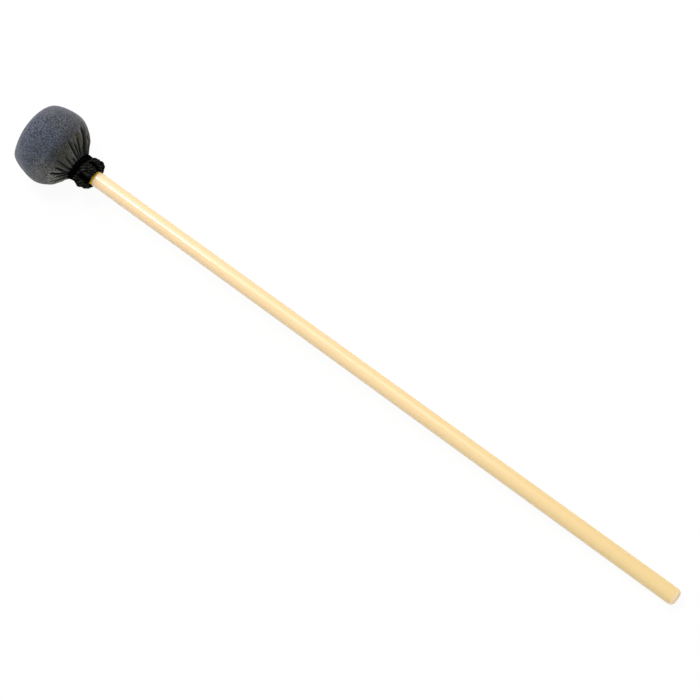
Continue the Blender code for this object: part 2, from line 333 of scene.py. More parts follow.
GRAIN_BUMP = (0.35, 0.12 * MM)

# Noises in the suede: how many to a metre, detail and roughness
CLOUD = (160.0, 3.0, 0.55)
FLECK = (1120.0, 3.0, 0.7)
NAP = (1500.0, 5.0, 0.75)
GRAIN = (3600.0, 3.0, 0.6)

# Middle of a noise's range, and each noise's span with what it multiplies the suede's colour by at its ends
NOISE_SPAN = (0.3, 0.7)
CLOUD_SPECKLE = (0.3, 0.7, 0.9, 1.1)
FLECK_SPECKLE = (0.36, 0.64, 0.4, 1.7)
NAP_SPECKLE = (0.36, 0.64, 0.35, 1.85)
GRAIN_SPECKLE = (0.35, 0.65, 0.65, 1.4)

# Thread and cord: colours in their grooves and on their tops, a painted shade and a painted highlight, then
# roughness, fibres to a metre, and relief
THREAD_SHADE_TO_HIGHLIGHT = ((0.0002, 0.0002, 0.0002), (0.0045, 0.0045, 0.0043))
THREAD_FIBRE = (0.55, 900.0, 0.08 * MM)
CORD_SHADE_TO_HIGHLIGHT = ((0.0002, 0.0002, 0.0002), (0.036, 0.036, 0.033))
CORD_FIBRE = (0.6, 760.0, 0.2 * MM)
STRAND_STRETCH = (0.55, 1.0, 1.0)
STRAND_NOISE = (4.0, 0.65, 0.6)
STRAND_SPAN = (0.35, 0.68)
STRAND_BUMP = 0.6
CREST_SPAN = (0.35, 1.0)
FUZZ_SCALE = 4.0
FUZZ_SHADES = (0.75, 1.25)
FUZZ_ROUGHNESS = (-0.08, 0.06)
FUZZ_BUMP = 0.4

# Birch: colours, among them a painted contact shade in amber where it meets the collar, the stretch of its
# noises along and across the grain, its relief and its lacquer
BIRCH_LIGHT = (0.83, 0.625, 0.385)
BIRCH_DARK = (0.79, 0.565, 0.315)
BIRCH_STREAK = (0.76, 0.50, 0.24)
BIRCH_PORE = (0.55, 0.36, 0.17)
BIRCH_FAR = (0.75, 0.56, 0.19)
BIRCH_CONTACT_SHADE = (1.0, 0.62, 0.0)
BROAD_GRAIN = (0.8, 210.0, 210.0)
FINE_GRAIN = (3.0, 700.0, 700.0)
FINE_NOISE = (1.0, 4.0, 0.6)
PORE_GRAIN = (38.0, 3200.0, 3200.0)
FINE_SPAN = (0.45, 0.75, 0.0, 0.5)
PORE_SPAN = (0.66, 0.8, 0.0, 0.35)
FAR_START = 45.0
FAR_SHARE = 0.55
CONTACT_SHADE_ZONE = (44.8, 45.7)
FINE_BUMP = (0.06, 0.03 * MM)
PORE_BUMP = (0.06, 0.02 * MM)
BIRCH_ROUGHNESS = (0.34, 0.46)
LACQUER = 0.8

# Butt: paler end grain with its growth rings, partly painted light on the end, then a painted shade on its
# rim away from the camera about a centre to one side, and where they and the lacquer's edge lie
BUTT_LIGHT = (0.94, 0.75, 0.50)
BUTT_DARK = (0.90, 0.69, 0.44)
BUTT_RIM_SHADE = (0.52, 0.33, 0.16)
BUTT_RIM_SHADE_CENTRE = 9.0
GROWTH_RINGS = {"Scale": 260.0, "Distortion": 2.0, "Detail": 2.0, "Detail_Scale": 1.0}
RING_SHARE = 0.3
RIM_SHADE_REACH = ((BUTT_RIM_SHADE_CENTRE - 0.4) * MM, (BUTT_RIM_SHADE_CENTRE + 1.4) * MM)
END_GRAIN_AND_LIGHT_SPAN = (-3.0 * MM, -1.2 * MM)
RIM_SHADE_SPAN = (-1.6 * MM, -0.6 * MM)
LACQUER_EDGE = (-1.6 * MM, -0.5 * MM)

# Hidden layers: for each felt one its material's name, light colour and dark colour, then the rubber
FELTS = {
    "felt_wrap": ("felt", (0.62, 0.60, 0.55), (0.40, 0.38, 0.35)),
    "front_pad": ("pad_felt", (0.68, 0.66, 0.60), (0.46, 0.44, 0.40)),
    "tie_thread": ("tie_thread", (0.30, 0.29, 0.27), (0.16, 0.15, 0.14)),
}
FELT_NOISE = (900.0, 4.0, 0.7, 1.2)
FELT_ROUGHNESS = (0.85, 1.0)
FELT_BUMP = (0.5, 0.3 * MM)
RUBBER_LIGHT = (0.035, 0.034, 0.033)
RUBBER_DARK = (0.012, 0.012, 0.012)
RUBBER_NOISE = (1400.0, 3.0, 0.5)
RUBBER_ROUGHNESS = (0.5, 0.68)
RUBBER_BUMP = (0.3, 0.1 * MM)

# Studio
FLOOR_COLOUR = 0.9
FLOOR_GLOW = 0.94
FLOOR_REACH = 6.0
SLOPE_LIMIT = 0.2
SLOPE_HALVINGS = 40
WORLD_LEVEL = 0.42
KEY_ANGLE = 34.0
KEY_LEAN = -0.6
KEY_DISTANCE = 2.0
KEY_SIZE = (2.0, 1.6)
KEY_POWER = 31.0
FILL_ANGLE = -80.0
FILL_LEAN = 1.3
FILL_DISTANCE = 1.6
FILL_SIZE = (1.0, 1.0)
FILL_POWER = 9.0
STREAK_STATION = 68.0
STREAK_ANGLE = 6.0
STREAK_DISTANCE = 1.2
STREAK_SIZE = (0.14, 0.26)
STREAK_POWER = 6.0


def along(station):
    """Metres along the handle's line for a station."""
    return (station - OVERALL_LENGTH) * MM


def smooth(share):
    """Ease from 0 to 1 with level ends."""
    share = np.clip(share, 0.0, 1.0)
    return share * share * (3 - 2 * share)


def eased(stations, zone):
    """Ease from 0 to 1 between the two stations of a zone."""
    return smooth((stations - zone[0]) / (zone[1] - zone[0]))


def handle_radius(station):
    """Radius of the tapered handle."""
    share = (station - TIP_SETBACK) / HANDLE_LENGTH
    return (HANDLE_TIP_DIAMETER + (HANDLE_BUTT_DIAMETER - HANDLE_TIP_DIAMETER) * share) / 2


def set_over(station):
    """How far the head stands to one side of the handle's line."""
    return HEAD_SET_OVER * smooth((HEAD_LENGTH - station) / (HEAD_LENGTH - BELLY_SETBACK))


def neck_tilt(station, degrees):
    """How far the bound neck leans back on its upper side."""
    share = eased(station, (NECK_TILT_START, HEAD_LENGTH))
    return NECK_TILT * share * np.sin(np.radians(degrees))


def outward(degrees):
    """Unit vectors square to the handle at angles round it."""
    angle = np.radians(np.asarray(degrees, float))[..., None]
    return np.cos(angle) * FACING + np.sin(angle) * UPPER


def bezier(start, leave, arrive, end):
    """Points on a cubic curve whose two handles are offsets from its ends."""
    start, end = np.array(start), np.array(end)
    first, second = start + leave, end + arrive
    t = np.linspace(0.0, 1.0, OUTLINE_STEPS + 1)[:, None]
    s = 1 - t
    return start * s**3 + first * 3 * s * s * t + second * 3 * s * t * t + end * t**3


def spaced(line, step):
    """A line resampled to an even step of about a given length."""
    lengths = np.hypot(*np.diff(line, axis=0).T)
    run = np.concatenate(([0.0], np.cumsum(lengths)))
    places = np.linspace(0.0, run[-1], max(2, round(run[-1] / step) + 1))
    return np.column_stack([np.interp(places, run, line[:, axis]) for axis in range(2)])


def head_outline():
    """Stations and radii of the head's outside, from its centre over the belly to the neck."""
    flat_edge = (0.0, FACE_FLAT_DIAMETER / 2)
    belly = (BELLY_SETBACK, HEAD_DIAMETER / 2)
    nape = (HEAD_LENGTH, NECK_DIAMETER / 2)
    front = bezier(flat_edge, (0.0, FACE_PULL), (-BROW_PULL, 0.0), belly)
    back = bezier(belly, (BACK_PULL, 0.0), (-NAPE_PULL[0], NAPE_PULL[1]), nape)
    face = spaced(np.array(((0.0, POLE_RADIUS), flat_edge)), FACE_STEP)
    return np.vstack((face, spaced(front, FRONT_STEP)[1:], spaced(back, BACK_STEP)[1:]))


def fold_list():
    """The folds that the photograph shows, then seeded ones of the same kind round the unseen side."""
    folds = list(SEEN_FOLDS)
    draw = np.random.default_rng(FOLD_SEED)
    first, last = UNSEEN_FOLD_ANGLES
    spacing = (last - first) / (UNSEEN_FOLDS - 1)
    for index in range(UNSEEN_FOLDS):
        angle = first + spacing * (index + draw.uniform(-UNSEEN_FOLD_SHIFT, UNSEEN_FOLD_SHIFT))
        depth = draw.uniform(*UNSEEN_FOLD_DEPTHS)
        end = HEAD_LENGTH - draw.uniform(*UNSEEN_FOLD_LENGTHS)
        drift = draw.uniform(-UNSEEN_FOLD_DRIFT, UNSEEN_FOLD_DRIFT)
        middle = (HEAD_LENGTH + end) / 2
        path = [(FOLD_ROOT, angle), (middle, angle + drift * UNSEEN_FOLD_BEND), (end, angle + drift)]
        folds.append((depth, UNSEEN_FOLD_WIDTH, path))
    return folds


def fold_shape(stations, degrees, radii):
    """Depth of the folds at each point of the head, their creases for painted shade, their lips, and
    nearness to a fold.
    """
    depth = np.zeros_like(stations)
    crease_shade = np.zeros_like(stations)
    lips = np.zeros_like(stations)
    near = np.zeros_like(stations)
    for peak, width, path in fold_list():
        places = np.array(sorted(path))
        centre = np.interp(stations, places[:, 0], places[:, 1])
        turn = (degrees - centre + 180) % 360 - 180
        away = np.abs(radii * np.radians(turn))
        reach = smooth((stations - places[0, 0]) / FOLD_FADE)
        foot = np.exp(-((away / FOLD_FOOT) ** 2))
        sharp = np.exp(-away / (FOLD_WIDTH * width))
        depth += FOLD_GAIN * peak * reach * (sharp + FOLD_FOOT_SHARE * foot) / (1 + FOLD_FOOT_SHARE)
        lip = np.exp(-(((away - LIP_PLACE) / LIP_WIDTH) ** 2))
        lips = np.maximum(lips, LIP_HEIGHT * peak * reach * lip)
        crease_shade = np.maximum(crease_shade, reach * CREASE_SHADE_SHARE * peak * sharp)
        near = np.maximum(near, reach * foot)
    return depth, crease_shade, lips, near


def swells(stations, degrees):
    """Height of the places where the padding stands out or draws in."""
    height = np.zeros_like(stations)
    for peak, station, angle, length, width in HEAD_SWELLS:
        turn = (degrees - angle + 180) % 360 - 180
        height += peak * np.exp(-(((stations - station) / length) ** 2) - (turn / width) ** 2)
    return height


def puckers(stations, degrees):
    """Fine puckers that the binding draws into the suede, strongest at the neck."""
    draw = np.random.default_rng(FOLD_SEED + 1)
    wave = np.zeros_like(stations)
    for count in PUCKER_COUNTS:
        phase = draw.uniform(0, 2 * math.pi)
        wave += np.sin(count * np.radians(degrees) + phase) / len(PUCKER_COUNTS)
    return PUCKER_DEPTH * wave * np.exp(-np.maximum(HEAD_LENGTH - stations, 0.0) / PUCKER_FADE)


def padding(points):
    """Soft lumps of the padding under the suede, as heights at points in millimetres."""
    heights = []
    for point in points:
        place = Vector(point)
        broad = noise.noise(place / PADDING_SIZE)
        small = noise.noise(place / DIMPLE_SIZE)
        heights.append(PADDING_HEIGHT * broad + DIMPLE_HEIGHT * small)
    return np.array(heights)


def tail_line():
    """Stations and radii of the cover's bound tail, from the neck to its end on the handle."""
    return np.array(TAIL_LINE + [(TAIL_END, handle_radius(TAIL_END) + TAIL_FIT)])


def bound_line():
    """Stations and radii under the start of the binding, where the folds run out."""
    stations = np.arange(HEAD_LENGTH, BOUND_END, BACK_STEP)[1:]
    share = smooth((stations - HEAD_LENGTH) / (BOUND_END - HEAD_LENGTH) * 2)
    return np.column_stack((stations, NECK_DIAMETER / 2 + (TAIL_RADIUS - NECK_DIAMETER / 2) * share))


def pleat_depth(stations):
    """How far the cover's inside is drawn in below its outline by the pleats of its solid."""
    share = np.clip((stations - PLEAT_START) / (HEAD_LENGTH - PLEAT_START), 0.0, 1.0)
    return PLEAT_DEPTH * np.sin(math.pi * PLEAT_RUN * share)


def above_lining(lift, stations, upright):
    """Keep the drawn-in suede clear of the felt below it, and give the share of the room that is left."""
    room = pleat_depth(stations) * upright + SUEDE_THICKNESS - LINING_CLEARANCE
    lift = np.where(lift < 0, room * np.tanh(lift / room), lift)
    return lift, 1 + np.minimum(lift, 0.0) / room


def lining_line():
    """Stations and radii of the cover's inside, from its tail's end along the handle to the face."""
    gather = HEAD_LENGTH - GATHER_LENGTH
    outside = head_outline()
    way = np.gradient(outside, axis=0)
    way /= np.hypot(way[:, 0], way[:, 1])[:, None]
    inner = outside + SUEDE_THICKNESS * np.column_stack((way[:, 1], -way[:, 0]))
    inner[:, 1] -= pleat_depth(outside[:, 0])
    inner = inner[inner[:, 0] < gather][::-LINING_SKIP]
    mouth = (TAIL_MOUTH, handle_radius(TAIL_MOUTH) + TAIL_FIT)
    start = [mouth, (gather, handle_radius(gather) + FIT)]
    return np.vstack((start, inner, [(SUEDE_THICKNESS, POLE_RADIUS)]))


def closed_mesh(name, rings, first_pole, last_pole):
    """A closed mesh through rings of points, with a pole at each end."""
    count, sides = rings.shape[:2]
    points = np.vstack((rings.reshape(-1, 3), first_pole, last_pole))
    column = np.arange(sides)
    following = (column + 1) % sides
    faces = []
    for ring in range(count - 1):
        low = ring * sides
        high = low + sides
        faces.extend(zip(low + column, low + following, high + following, high + column))
    last = (count - 1) * sides
    faces.extend((count * sides, b, a) for a, b in zip(column, following))
    faces.extend((count * sides + 1, last + a, last + b) for a, b in zip(column, following))
    mesh = bpy.data.meshes.new(name)
    mesh.from_pydata((points * MM).tolist(), [], [tuple(int(i) for i in face) for face in faces])
    mesh.validate()
    solid = bmesh.new()
    solid.from_mesh(mesh)
    if solid.calc_volume(signed=True) < 0:
        mesh.flip_normals()
    solid.free()
    mesh.shade_smooth()
    return mesh


def add_piece(name, mesh, node, material):
    """Put a finished mesh in the scene in the place of one CAD node."""
    piece = bpy.data.objects.new(name, mesh)
    bpy.context.scene.collection.objects.link(piece)
    mesh.materials.append(material)
    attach(piece, "root")
    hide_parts(node)
    return piece


def in_frame(stations, degrees, radii, sideways=0.0):
    """Points in millimetres in the part's frame."""
    points = outward(degrees) * np.asarray(radii)[..., None]
    points[..., 0] = stations - OVERALL_LENGTH
    points[..., 1] += sideways
    return points


def settle(rings, stations, depth):
    """Run the cover's outside as cloth blown up by its padding, and give how far its points move."""
    rows = np.unique(np.linspace(0, len(rings) - 1, SETTLE_ROWS).round().astype(int))
    start = rings[rows][:, ::SETTLE_COLUMN_STEP]
    poles = [start[end].mean(axis=0) * SETTLE_SCALE for end in (0, -1)]
    mesh = closed_mesh("settling", start * SETTLE_SCALE, *poles)
    cloth = bpy.data.objects.new("settling", mesh)
    bpy.context.scene.collection.objects.link(cloth)

    front = 1 - eased(stations, HELD_FRONT)
    held = np.maximum(np.clip(depth / HELD_DEPTH, 0.0, 1.0) ** 2, eased(stations, HELD_NECK))
    held = np.maximum(held, front)
    tight = 1 - eased(stations, SLACK_PART)
    for name, weights, at_poles in (("held", held, (1.0, 1.0)), ("tight", tight, (1.0, 0.0))):
        group = cloth.vertex_groups.new(name=name)
        values = np.append(weights[rows][:, ::SETTLE_COLUMN_STEP].ravel(), at_poles)
        for index, value in enumerate(values):
            group.add([index], float(value), "REPLACE")

    cloth.modifiers.new("cloth", "CLOTH")
    settings = cloth.modifiers["cloth"].settings
    settings.effector_weights.gravity = 0.0
    for name, value in CLOTH.items():
        setattr(settings, name, value)
    scene = bpy.context.scene
    for frame in range(1, SETTLE_FRAMES + 1):
        scene.frame_set(frame)

    settled = cloth.evaluated_get(bpy.context.evaluated_depsgraph_get())
    places = np.empty(len(mesh.vertices) * 3)
    settled.data.vertices.foreach_get("co", places)
    places = places.reshape(-1, 3)[: start.shape[0] * start.shape[1]].reshape(start.shape)
    moved = places / (SETTLE_SCALE * MM) - start
    out = start * np.array((0.0, 1.0, 1.0))
    out /= np.linalg.norm(out, axis=2, keepdims=True)
    moved -= out * np.median(np.sum(moved * out, axis=2), axis=1)[:, None, None]
    moved[..., 0] -= np.median(moved[..., 0], axis=1)[:, None]
    length = np.maximum(np.linalg.norm(moved, axis=2, keepdims=True), 1e-9)
    moved *= SETTLE_CAP * np.tanh(length / SETTLE_CAP) / length
    moved *= (1 - front[rows][:, ::SETTLE_COLUMN_STEP])[..., None]
    scene.frame_set(1)
    bpy.data.objects.remove(cloth)
    bpy.data.meshes.remove(mesh)
    return spread(moved, rows, rings.shape)


def spread(moved, rows, shape):
    """Moves on the coarse grid carried over to the fine one and smoothed there."""
    columns = np.arange(shape[1] + 1)
    fine = np.empty(shape)
    for axis in range(3):
        table = np.column_stack((moved[..., axis], moved[:, 0, axis]))
        wide = np.array([np.interp(columns, columns[::SETTLE_COLUMN_STEP], row) for row in table])
        tall = [np.interp(np.arange(shape[0]), rows, column) for column in wide[:, :-1].T]
        fine[..., axis] = np.array(tall).T
    for _ in range(SETTLE_SMOOTHING):
        fine = (np.roll(fine, 1, axis=1) + 2 * fine + np.roll(fine, -1, axis=1)) / 4
        fine[1:-1] = (fine[:-2] + 2 * fine[1:-1] + fine[2:]) / 4
    return fine


def build_cover(material):
    """Suede bag over the head: folded and settled outside, bound tail, and inside on the padding."""
    folded = np.vstack((head_outline(), bound_line()))
    line = np.vstack((folded, tail_line(), lining_line()))
    degrees = np.arange(COVER_COLUMNS) * 360.0 / COVER_COLUMNS
    stations = np.repeat(line[:, :1], COVER_COLUMNS, axis=1)
    radii = np.repeat(line[:, 1:], COVER_COLUMNS, axis=1)
    angles = np.repeat(degrees[None, :], len(line), axis=0)

    shown = len(folded)
    depth, crease_shade, lips, near = fold_shape(stations[:shown], angles[:shown], radii[:shown])
    lips *= 1 - np.clip(depth / LIP_CLEAR, 0.0, 1.0)
    rise = eased(stations[:shown], (RIDGE_START, HEAD_LENGTH)) * (1 - near)
    wrinkle = puckers(stations[:shown], angles[:shown])
    fade = 1 - eased(stations[:shown], (HEAD_LENGTH, BOUND_END))
    lift = (RIDGE_RISE * rise + wrinkle + lips - depth) * fade + swells(stations[:shown], angles[:shown])

    slope = np.gradient(line[:shown, 1], np.arange(shown))
    run = np.gradient(line[:shown, 0], np.arange(shown))
    length = np.hypot(slope, run)
    flat = in_frame(stations[:shown], angles[:shown], radii[:shown]).reshape(-1, 3)
    lift += padding(flat).reshape(lift.shape) * (smooth(line[:shown, :1] / PADDING_START) * fade)
    lift, free = above_lining(lift, stations[:shown], (run / length)[:, None])
    stations[:shown] -= lift * (slope / length)[:, None]
    radii[:shown] += lift * (run / length)[:, None]

    tilted = stations + neck_tilt(line[:, :1], angles)
    rings = in_frame(tilted, angles, radii, set_over(np.minimum(line[:, :1], HEAD_LENGTH)))
    rings[:shown] += settle(rings[:shown], stations[:shown], depth) * free[..., None]
    poles = [(line[end, 0] - OVERALL_LENGTH, set_over(0.0), 0.0) for end in (0, -1)]
    mesh = closed_mesh("suede_cover", rings, *poles)

    # Crease depth less the lips, for the suede's painted shade in the folds and painted highlight on the
    # lips
    creases = np.zeros(len(mesh.vertices))
    creases[: lift.size] = (crease_shade - lips).ravel()
    mesh.attributes.new("fold", "FLOAT", "POINT").data.foreach_set("value", creases)
    cover = add_piece("suede_cover", mesh, "cover", material)
    return cover


def build_handle(material):
    """Handle turned with finer facets than its solid, in the same outline."""
    butt = OVERALL_LENGTH
    tip_radius = handle_radius(TIP_SETBACK)
    line = [
        (TIP_SETBACK, POLE_RADIUS),
        (TIP_SETBACK, tip_radius - TIP_CHAMFER - EDGE_HOLD),
        (TIP_SETBACK, tip_radius - TIP_CHAMFER),
        (TIP_SETBACK + TIP_CHAMFER, tip_radius),
    ]
    last_ring = butt - BUTT_APPROACH * BUTT_ROUNDING
    for station in np.linspace(TIP_SETBACK + 2 * TIP_CHAMFER, last_ring, HANDLE_RINGS):
        line.append((station, handle_radius(station)))
    flat_radius = handle_radius(butt) - BUTT_ROUNDING
    for angle in np.radians(np.linspace(0.0, 90.0, BUTT_RINGS)):
        station = butt - BUTT_ROUNDING * (1 - math.sin(angle))
        line.append((station, flat_radius + BUTT_ROUNDING * math.cos(angle)))
    for share in BUTT_FLAT_SHARES:
        line.append((butt, flat_radius * share))
    line = np.array(line)
    degrees = np.arange(HANDLE_COLUMNS) * 360.0 / HANDLE_COLUMNS
    rings = in_frame(*np.broadcast_arrays(line[:, :1], degrees, line[:, 1:]))
    first = (line[0, 0] - OVERALL_LENGTH, 0.0, 0.0)
    mesh = closed_mesh("turned_handle", rings, first, (0.0, 0.0, 0.0))
    return add_piece("turned_handle", mesh, "handle", material)


def tube_mesh(name, path, high, wide, sides, plies, crumple=0.0):
    """A three-ply cord along a path, from its half widths and the depth and pitch of its plies."""
    ply_depth, ply_pitch = plies
    tangent = np.gradient(path, axis=0)
    tangent /= np.linalg.norm(tangent, axis=1)[:, None]
    out = path * np.array((0.0, 1.0, 1.0))
    out -= tangent * np.sum(out * tangent, axis=1)[:, None]
    out /= np.linalg.norm(out, axis=1)[:, None]
    side = np.cross(tangent, out)
    steps = np.linalg.norm(np.diff(path, axis=0), axis=1)
    run = np.concatenate(([0.0], np.cumsum(steps)))
    columns = np.arange(sides) * 2 * math.pi / sides
    around = columns[None, :] + (run * 2 * math.pi / ply_pitch)[:, None]
    top = ply_profile(columns)
    ends = np.minimum(run, run[-1] - run)
    taper = np.sqrt(1 - (1 - np.clip(ends / high, CORD_END, 1.0)) ** 2)
    size = (1 - ply_depth * (1 - top))[None, :] * taper[:, None]
    height = size * np.broadcast_to(high, run.shape)[:, None] * np.cos(around)
    width = size * np.broadcast_to(wide, run.shape)[:, None] * np.sin(around)
    rings = path[:, None, :] + height[..., None] * out[:, None, :] + width[..., None] * side[:, None, :]
    if crumple:
        lumps = np.array([lump(point) for point in rings.reshape(-1, 3)]).reshape(size.shape)
        rings += crumple * (lumps * taper[:, None])[..., None] * (rings - path[:, None, :])
    mesh = closed_mesh(name, rings, path[0], path[-1])
    # Ply tops, 0 in the grooves and 1 on the tops, for the cord's painted shade and highlight
    crests = np.zeros(len(mesh.vertices))
    crests[: size.size] = np.tile(top, len(run))
    mesh.attributes.new("crest", "FLOAT", "POINT").data.foreach_set("value", crests)
    return mesh


def paint_cleft_shade(mesh, share):
    """Paint shade into a cord by lowering its crests by a share at each of its points."""
    crests = np.empty(len(mesh.vertices))
    mesh.attributes["crest"].data.foreach_get("value", crests)
    crests[: len(share)] *= share
    mesh.attributes["crest"].data.foreach_set("value", crests)


def ply_profile(columns):
    """Height of three plies round a cord, from 0 in the grooves between them to 1 at their tops."""
    ply = 1 / (1 + 2 / math.sqrt(3))
    offset = ply * 2 / math.sqrt(3)
    turn = (columns + math.pi / 3) % (2 * math.pi / 3) - math.pi / 3
    reach = offset * np.cos(turn) + np.sqrt(np.maximum(ply**2 - (offset * np.sin(turn)) ** 2, 0.0))
    lowest = offset / 2
    return (reach - lowest) / (1 - lowest)


def lump(point):
    """Uneven lumps of soft cord, between about -1 and 1."""
    place = Vector(point)
    return noise.noise(place / LUMP_SIZE) + CREASE_HEIGHT * noise.noise(place / CREASE_SIZE)


def wound(turns, per_turn, start_angle, way):
    """Angles of evenly wound turns, between the two values that a way gives at each."""
    share = np.linspace(0.0, 1.0, round(turns * per_turn) + 1)
    way = np.array(way)
    first = np.interp(share, way[:, 0], way[:, 1])
    second = np.interp(share, way[:, 0], way[:, 2])
    return first, start_angle + share * turns * 360.0, second


def build_binding(material):
    """Thread wound down the neck, then back over itself at a wider pitch."""
    stations, degrees, height = wound(BINDING_TURNS, BINDING_PER_TURN, BINDING_FIRST_ANGLE, BINDING_WAY)
    turn = np.radians(degrees)
    draw = np.random.default_rng(FOLD_SEED + 2)
    for count in BINDING_WAVES:
        stations += BINDING_SWAY * np.sin(turn * count + draw.uniform(0, 2 * math.pi))
    heap = np.exp(-(((stations - BINDING_START) / BINDING_HEAP_WIDTH) ** 2))
    radii = BINDING_RADIUS + height + BINDING_HEAP * heap * np.clip(-np.sin(turn), 0.0, 1.0)
    stations += NECK_TILT * np.sin(turn)
    path = in_frame(stations, degrees, radii)
    half = THREAD_DIAMETER / 2
    mesh = tube_mesh("thread_binding", path, half, half, THREAD_SIDES, THREAD_PLIES)
    add_piece("thread_binding", mesh, "neck_binding", material)


def round_the_neck(table, degrees):
    """A value read at angles round the neck from a table of angles and values, eased between them."""
    rows = np.array(sorted(table))
    rows = np.vstack((rows[-1] - (360.0, 0.0), rows, rows[0] + (360.0, 0.0)))
    angles = (np.asarray(degrees) + 180.0) % 360.0 - 180.0
    after = np.clip(np.searchsorted(rows[:, 0], angles, side="right"), 1, len(rows) - 1)
    share = (angles - rows[after - 1, 0]) / (rows[after, 0] - rows[after - 1, 0])
    return rows[after - 1, 1] + (rows[after, 1] - rows[after - 1, 1]) * smooth(share)


def build_collar(material):
    """Soft cord wound along the cover's tail and back, bunched into lobes with clefts between."""
    lane, degrees, buried = wound(COLLAR_TURNS, COLLAR_PER_TURN, COLLAR_FIRST_ANGLE, COLLAR_WAY)
    draw = np.random.default_rng(FOLD_SEED + 3)
    sway = np.zeros_like(degrees)
    heave = np.zeros_like(degrees)
    swell = np.zeros_like(degrees)
    for count in COLLAR_WAVES:
        angle = np.radians(degrees) * count
        sway += np.sin(angle + draw.uniform(0, 2 * math.pi)) / len(COLLAR_WAVES)
        heave += np.sin(angle + draw.uniform(0, 2 * math.pi)) / len(COLLAR_WAVES)
        swell += np.sin(angle * COLLAR_SWELL_WAVE + draw.uniform(0, 2 * math.pi)) / len(COLLAR_WAVES)
    bow = np.radians(COLLAR_START_ANGLE * (1 - np.clip(lane + COLLAR_SWAY * sway, 0.0, 1.0)))
    peak = round_the_neck(COLLAR_PEAKS, degrees)
    start = round_the_neck(COLLAR_STARTS, degrees)
    end = round_the_neck(COLLAR_ENDS, degrees)
    centre = COLLAR_CENTRE[0] + start * np.clip(-np.cos(bow), 0, 1) + end * np.clip(np.cos(bow), 0, 1)
    stations = centre + COLLAR_REACH * np.cos(bow)
    radii = COLLAR_CENTRE[1] + (peak - COLLAR_CENTRE[1]) * np.sin(bow) ** COLLAR_FULLNESS
    radii += COLLAR_HEAVE * heave - buried * COLLAR_LAYER
    stations -= buried * COLLAR_TUCK * np.cos(bow)
    stations += NECK_TILT * np.sin(np.radians(degrees))
    path = in_frame(stations, degrees, radii)
    half = CORD_DIAMETER / 2 * (1 + COLLAR_SWELL * swell + COLLAR_SQUEEZE * (peak - COLLAR_MIDDLE))
    mesh = tube_mesh("cord_collar", path, half, half * CORD_FLATNESS, CORD_SIDES, CORD_PLIES, CRUMPLE)
    # Painted shade on the cord in the clefts and where it lies buried
    out_of_cleft_shade = smooth((peak - buried - COLLAR_CLEFT_SHADE_RADIUS) / COLLAR_CLEFT_SHADE_RISE)
    paint_cleft_shade(mesh, np.repeat(out_of_cleft_shade, CORD_SIDES))
    add_piece("cord_collar", mesh, "collar", material)


class Shader:
    """A node material that is put together a step at a time."""

    def __init__(self, name):
        self.material = bpy.data.materials.new(name)
        self.material.use_nodes = True
        self.tree = self.material.node_tree
        self.surface = self.tree.nodes["Principled BSDF"]

    def node(self, kind, **settings):
        """A new node of a kind, with its settings."""
        made = self.tree.nodes.new("ShaderNode" + kind)
        for name, value in settings.items():
            setattr(made, name, value)
        return made

    def feed(self, socket, value):
        """Give a socket a number or colour, or link it to another socket."""
        if isinstance(value, bpy.types.NodeSocket):
            self.tree.links.new(value, socket)
        elif isinstance(value, tuple) and len(value) == 3 and len(socket.default_value) == 4:
            socket.default_value = (*value, 1.0)
        else:
            socket.default_value = value

    def fill(self, made, **values):
        """Feed a node's inputs by their names."""
        for name, value in values.items():
            self.feed(made.inputs[name.replace("_", " ")], value)

    def place(self, stretch=(1.0, 1.0, 1.0)):
        """Place on the object in metres, stretched along its axes."""
        made = self.node("Mapping")
        self.fill(made, Vector=self.node("TexCoord").outputs["Object"], Scale=stretch)
        return made.outputs["Vector"]

    def noise(self, vector, scale, detail=2.0, rough=0.5, distortion=0.0):
        """Noise with so many lumps to a unit of its vector."""
        made = self.node("TexNoise")
        self.fill(made, Vector=vector, Scale=scale, Detail=detail, Roughness=rough, Distortion=distortion)
        return made.outputs["Fac"]

    def span(self, value, low, high, to_low=0.0, to_high=1.0, smooth_ends=False):
        """A value mapped from one span to another and held at its ends."""
        made = self.node("MapRange", interpolation_type="SMOOTHSTEP" if smooth_ends else "LINEAR")
        self.fill(made, Value=value, From_Min=low, From_Max=high, To_Min=to_low, To_Max=to_high)
        return made.outputs["Result"]

    def zone(self, x, stations, to_low=0.0, to_high=1.0, smooth_ends=False):
        """A span along the handle, from one station to another."""
        start, end = (along(station) for station in stations)
        return self.span(x, start, end, to_low, to_high, smooth_ends)

    def math(self, operation, first, second):
        """Two numbers put together."""
        made = self.node("Math", operation=operation)
        self.feed(made.inputs[0], first)
        self.feed(made.inputs[1], second)
        return made.outputs["Value"]

    def mix(self, share, first, second, blend="MIX"):
        """Two colours blended by a share."""
        made = self.node("Mix", data_type="RGBA", blend_type=blend)
        self.feed(made.inputs[0], share)
        self.feed(made.inputs[6], first)
        self.feed(made.inputs[7], second)
        return made.outputs[2]

    def vector_math(self, operation, vector, other):
        """A number from a place and a fixed vector."""
        made = self.node("VectorMath", operation=operation)
        self.feed(made.inputs[0], vector)
        self.feed(made.inputs[1], tuple(other))
        return made.outputs["Value"]

    def bump(self, height, strength, distance, below=None):
        """Relief from a height, on top of coarser relief."""
        made = self.node("Bump")
        self.fill(made, Height=height, Strength=strength, Distance=distance)
        if below is not None:
            self.fill(made, Normal=below)
        return made.outputs["Normal"]

    def finish(self, colour, roughness, normal):
        """Feed the surface what varies over it, and give the material."""
        self.fill(self.surface, Base_Color=colour, Roughness=roughness, Normal=normal)
        return self.material


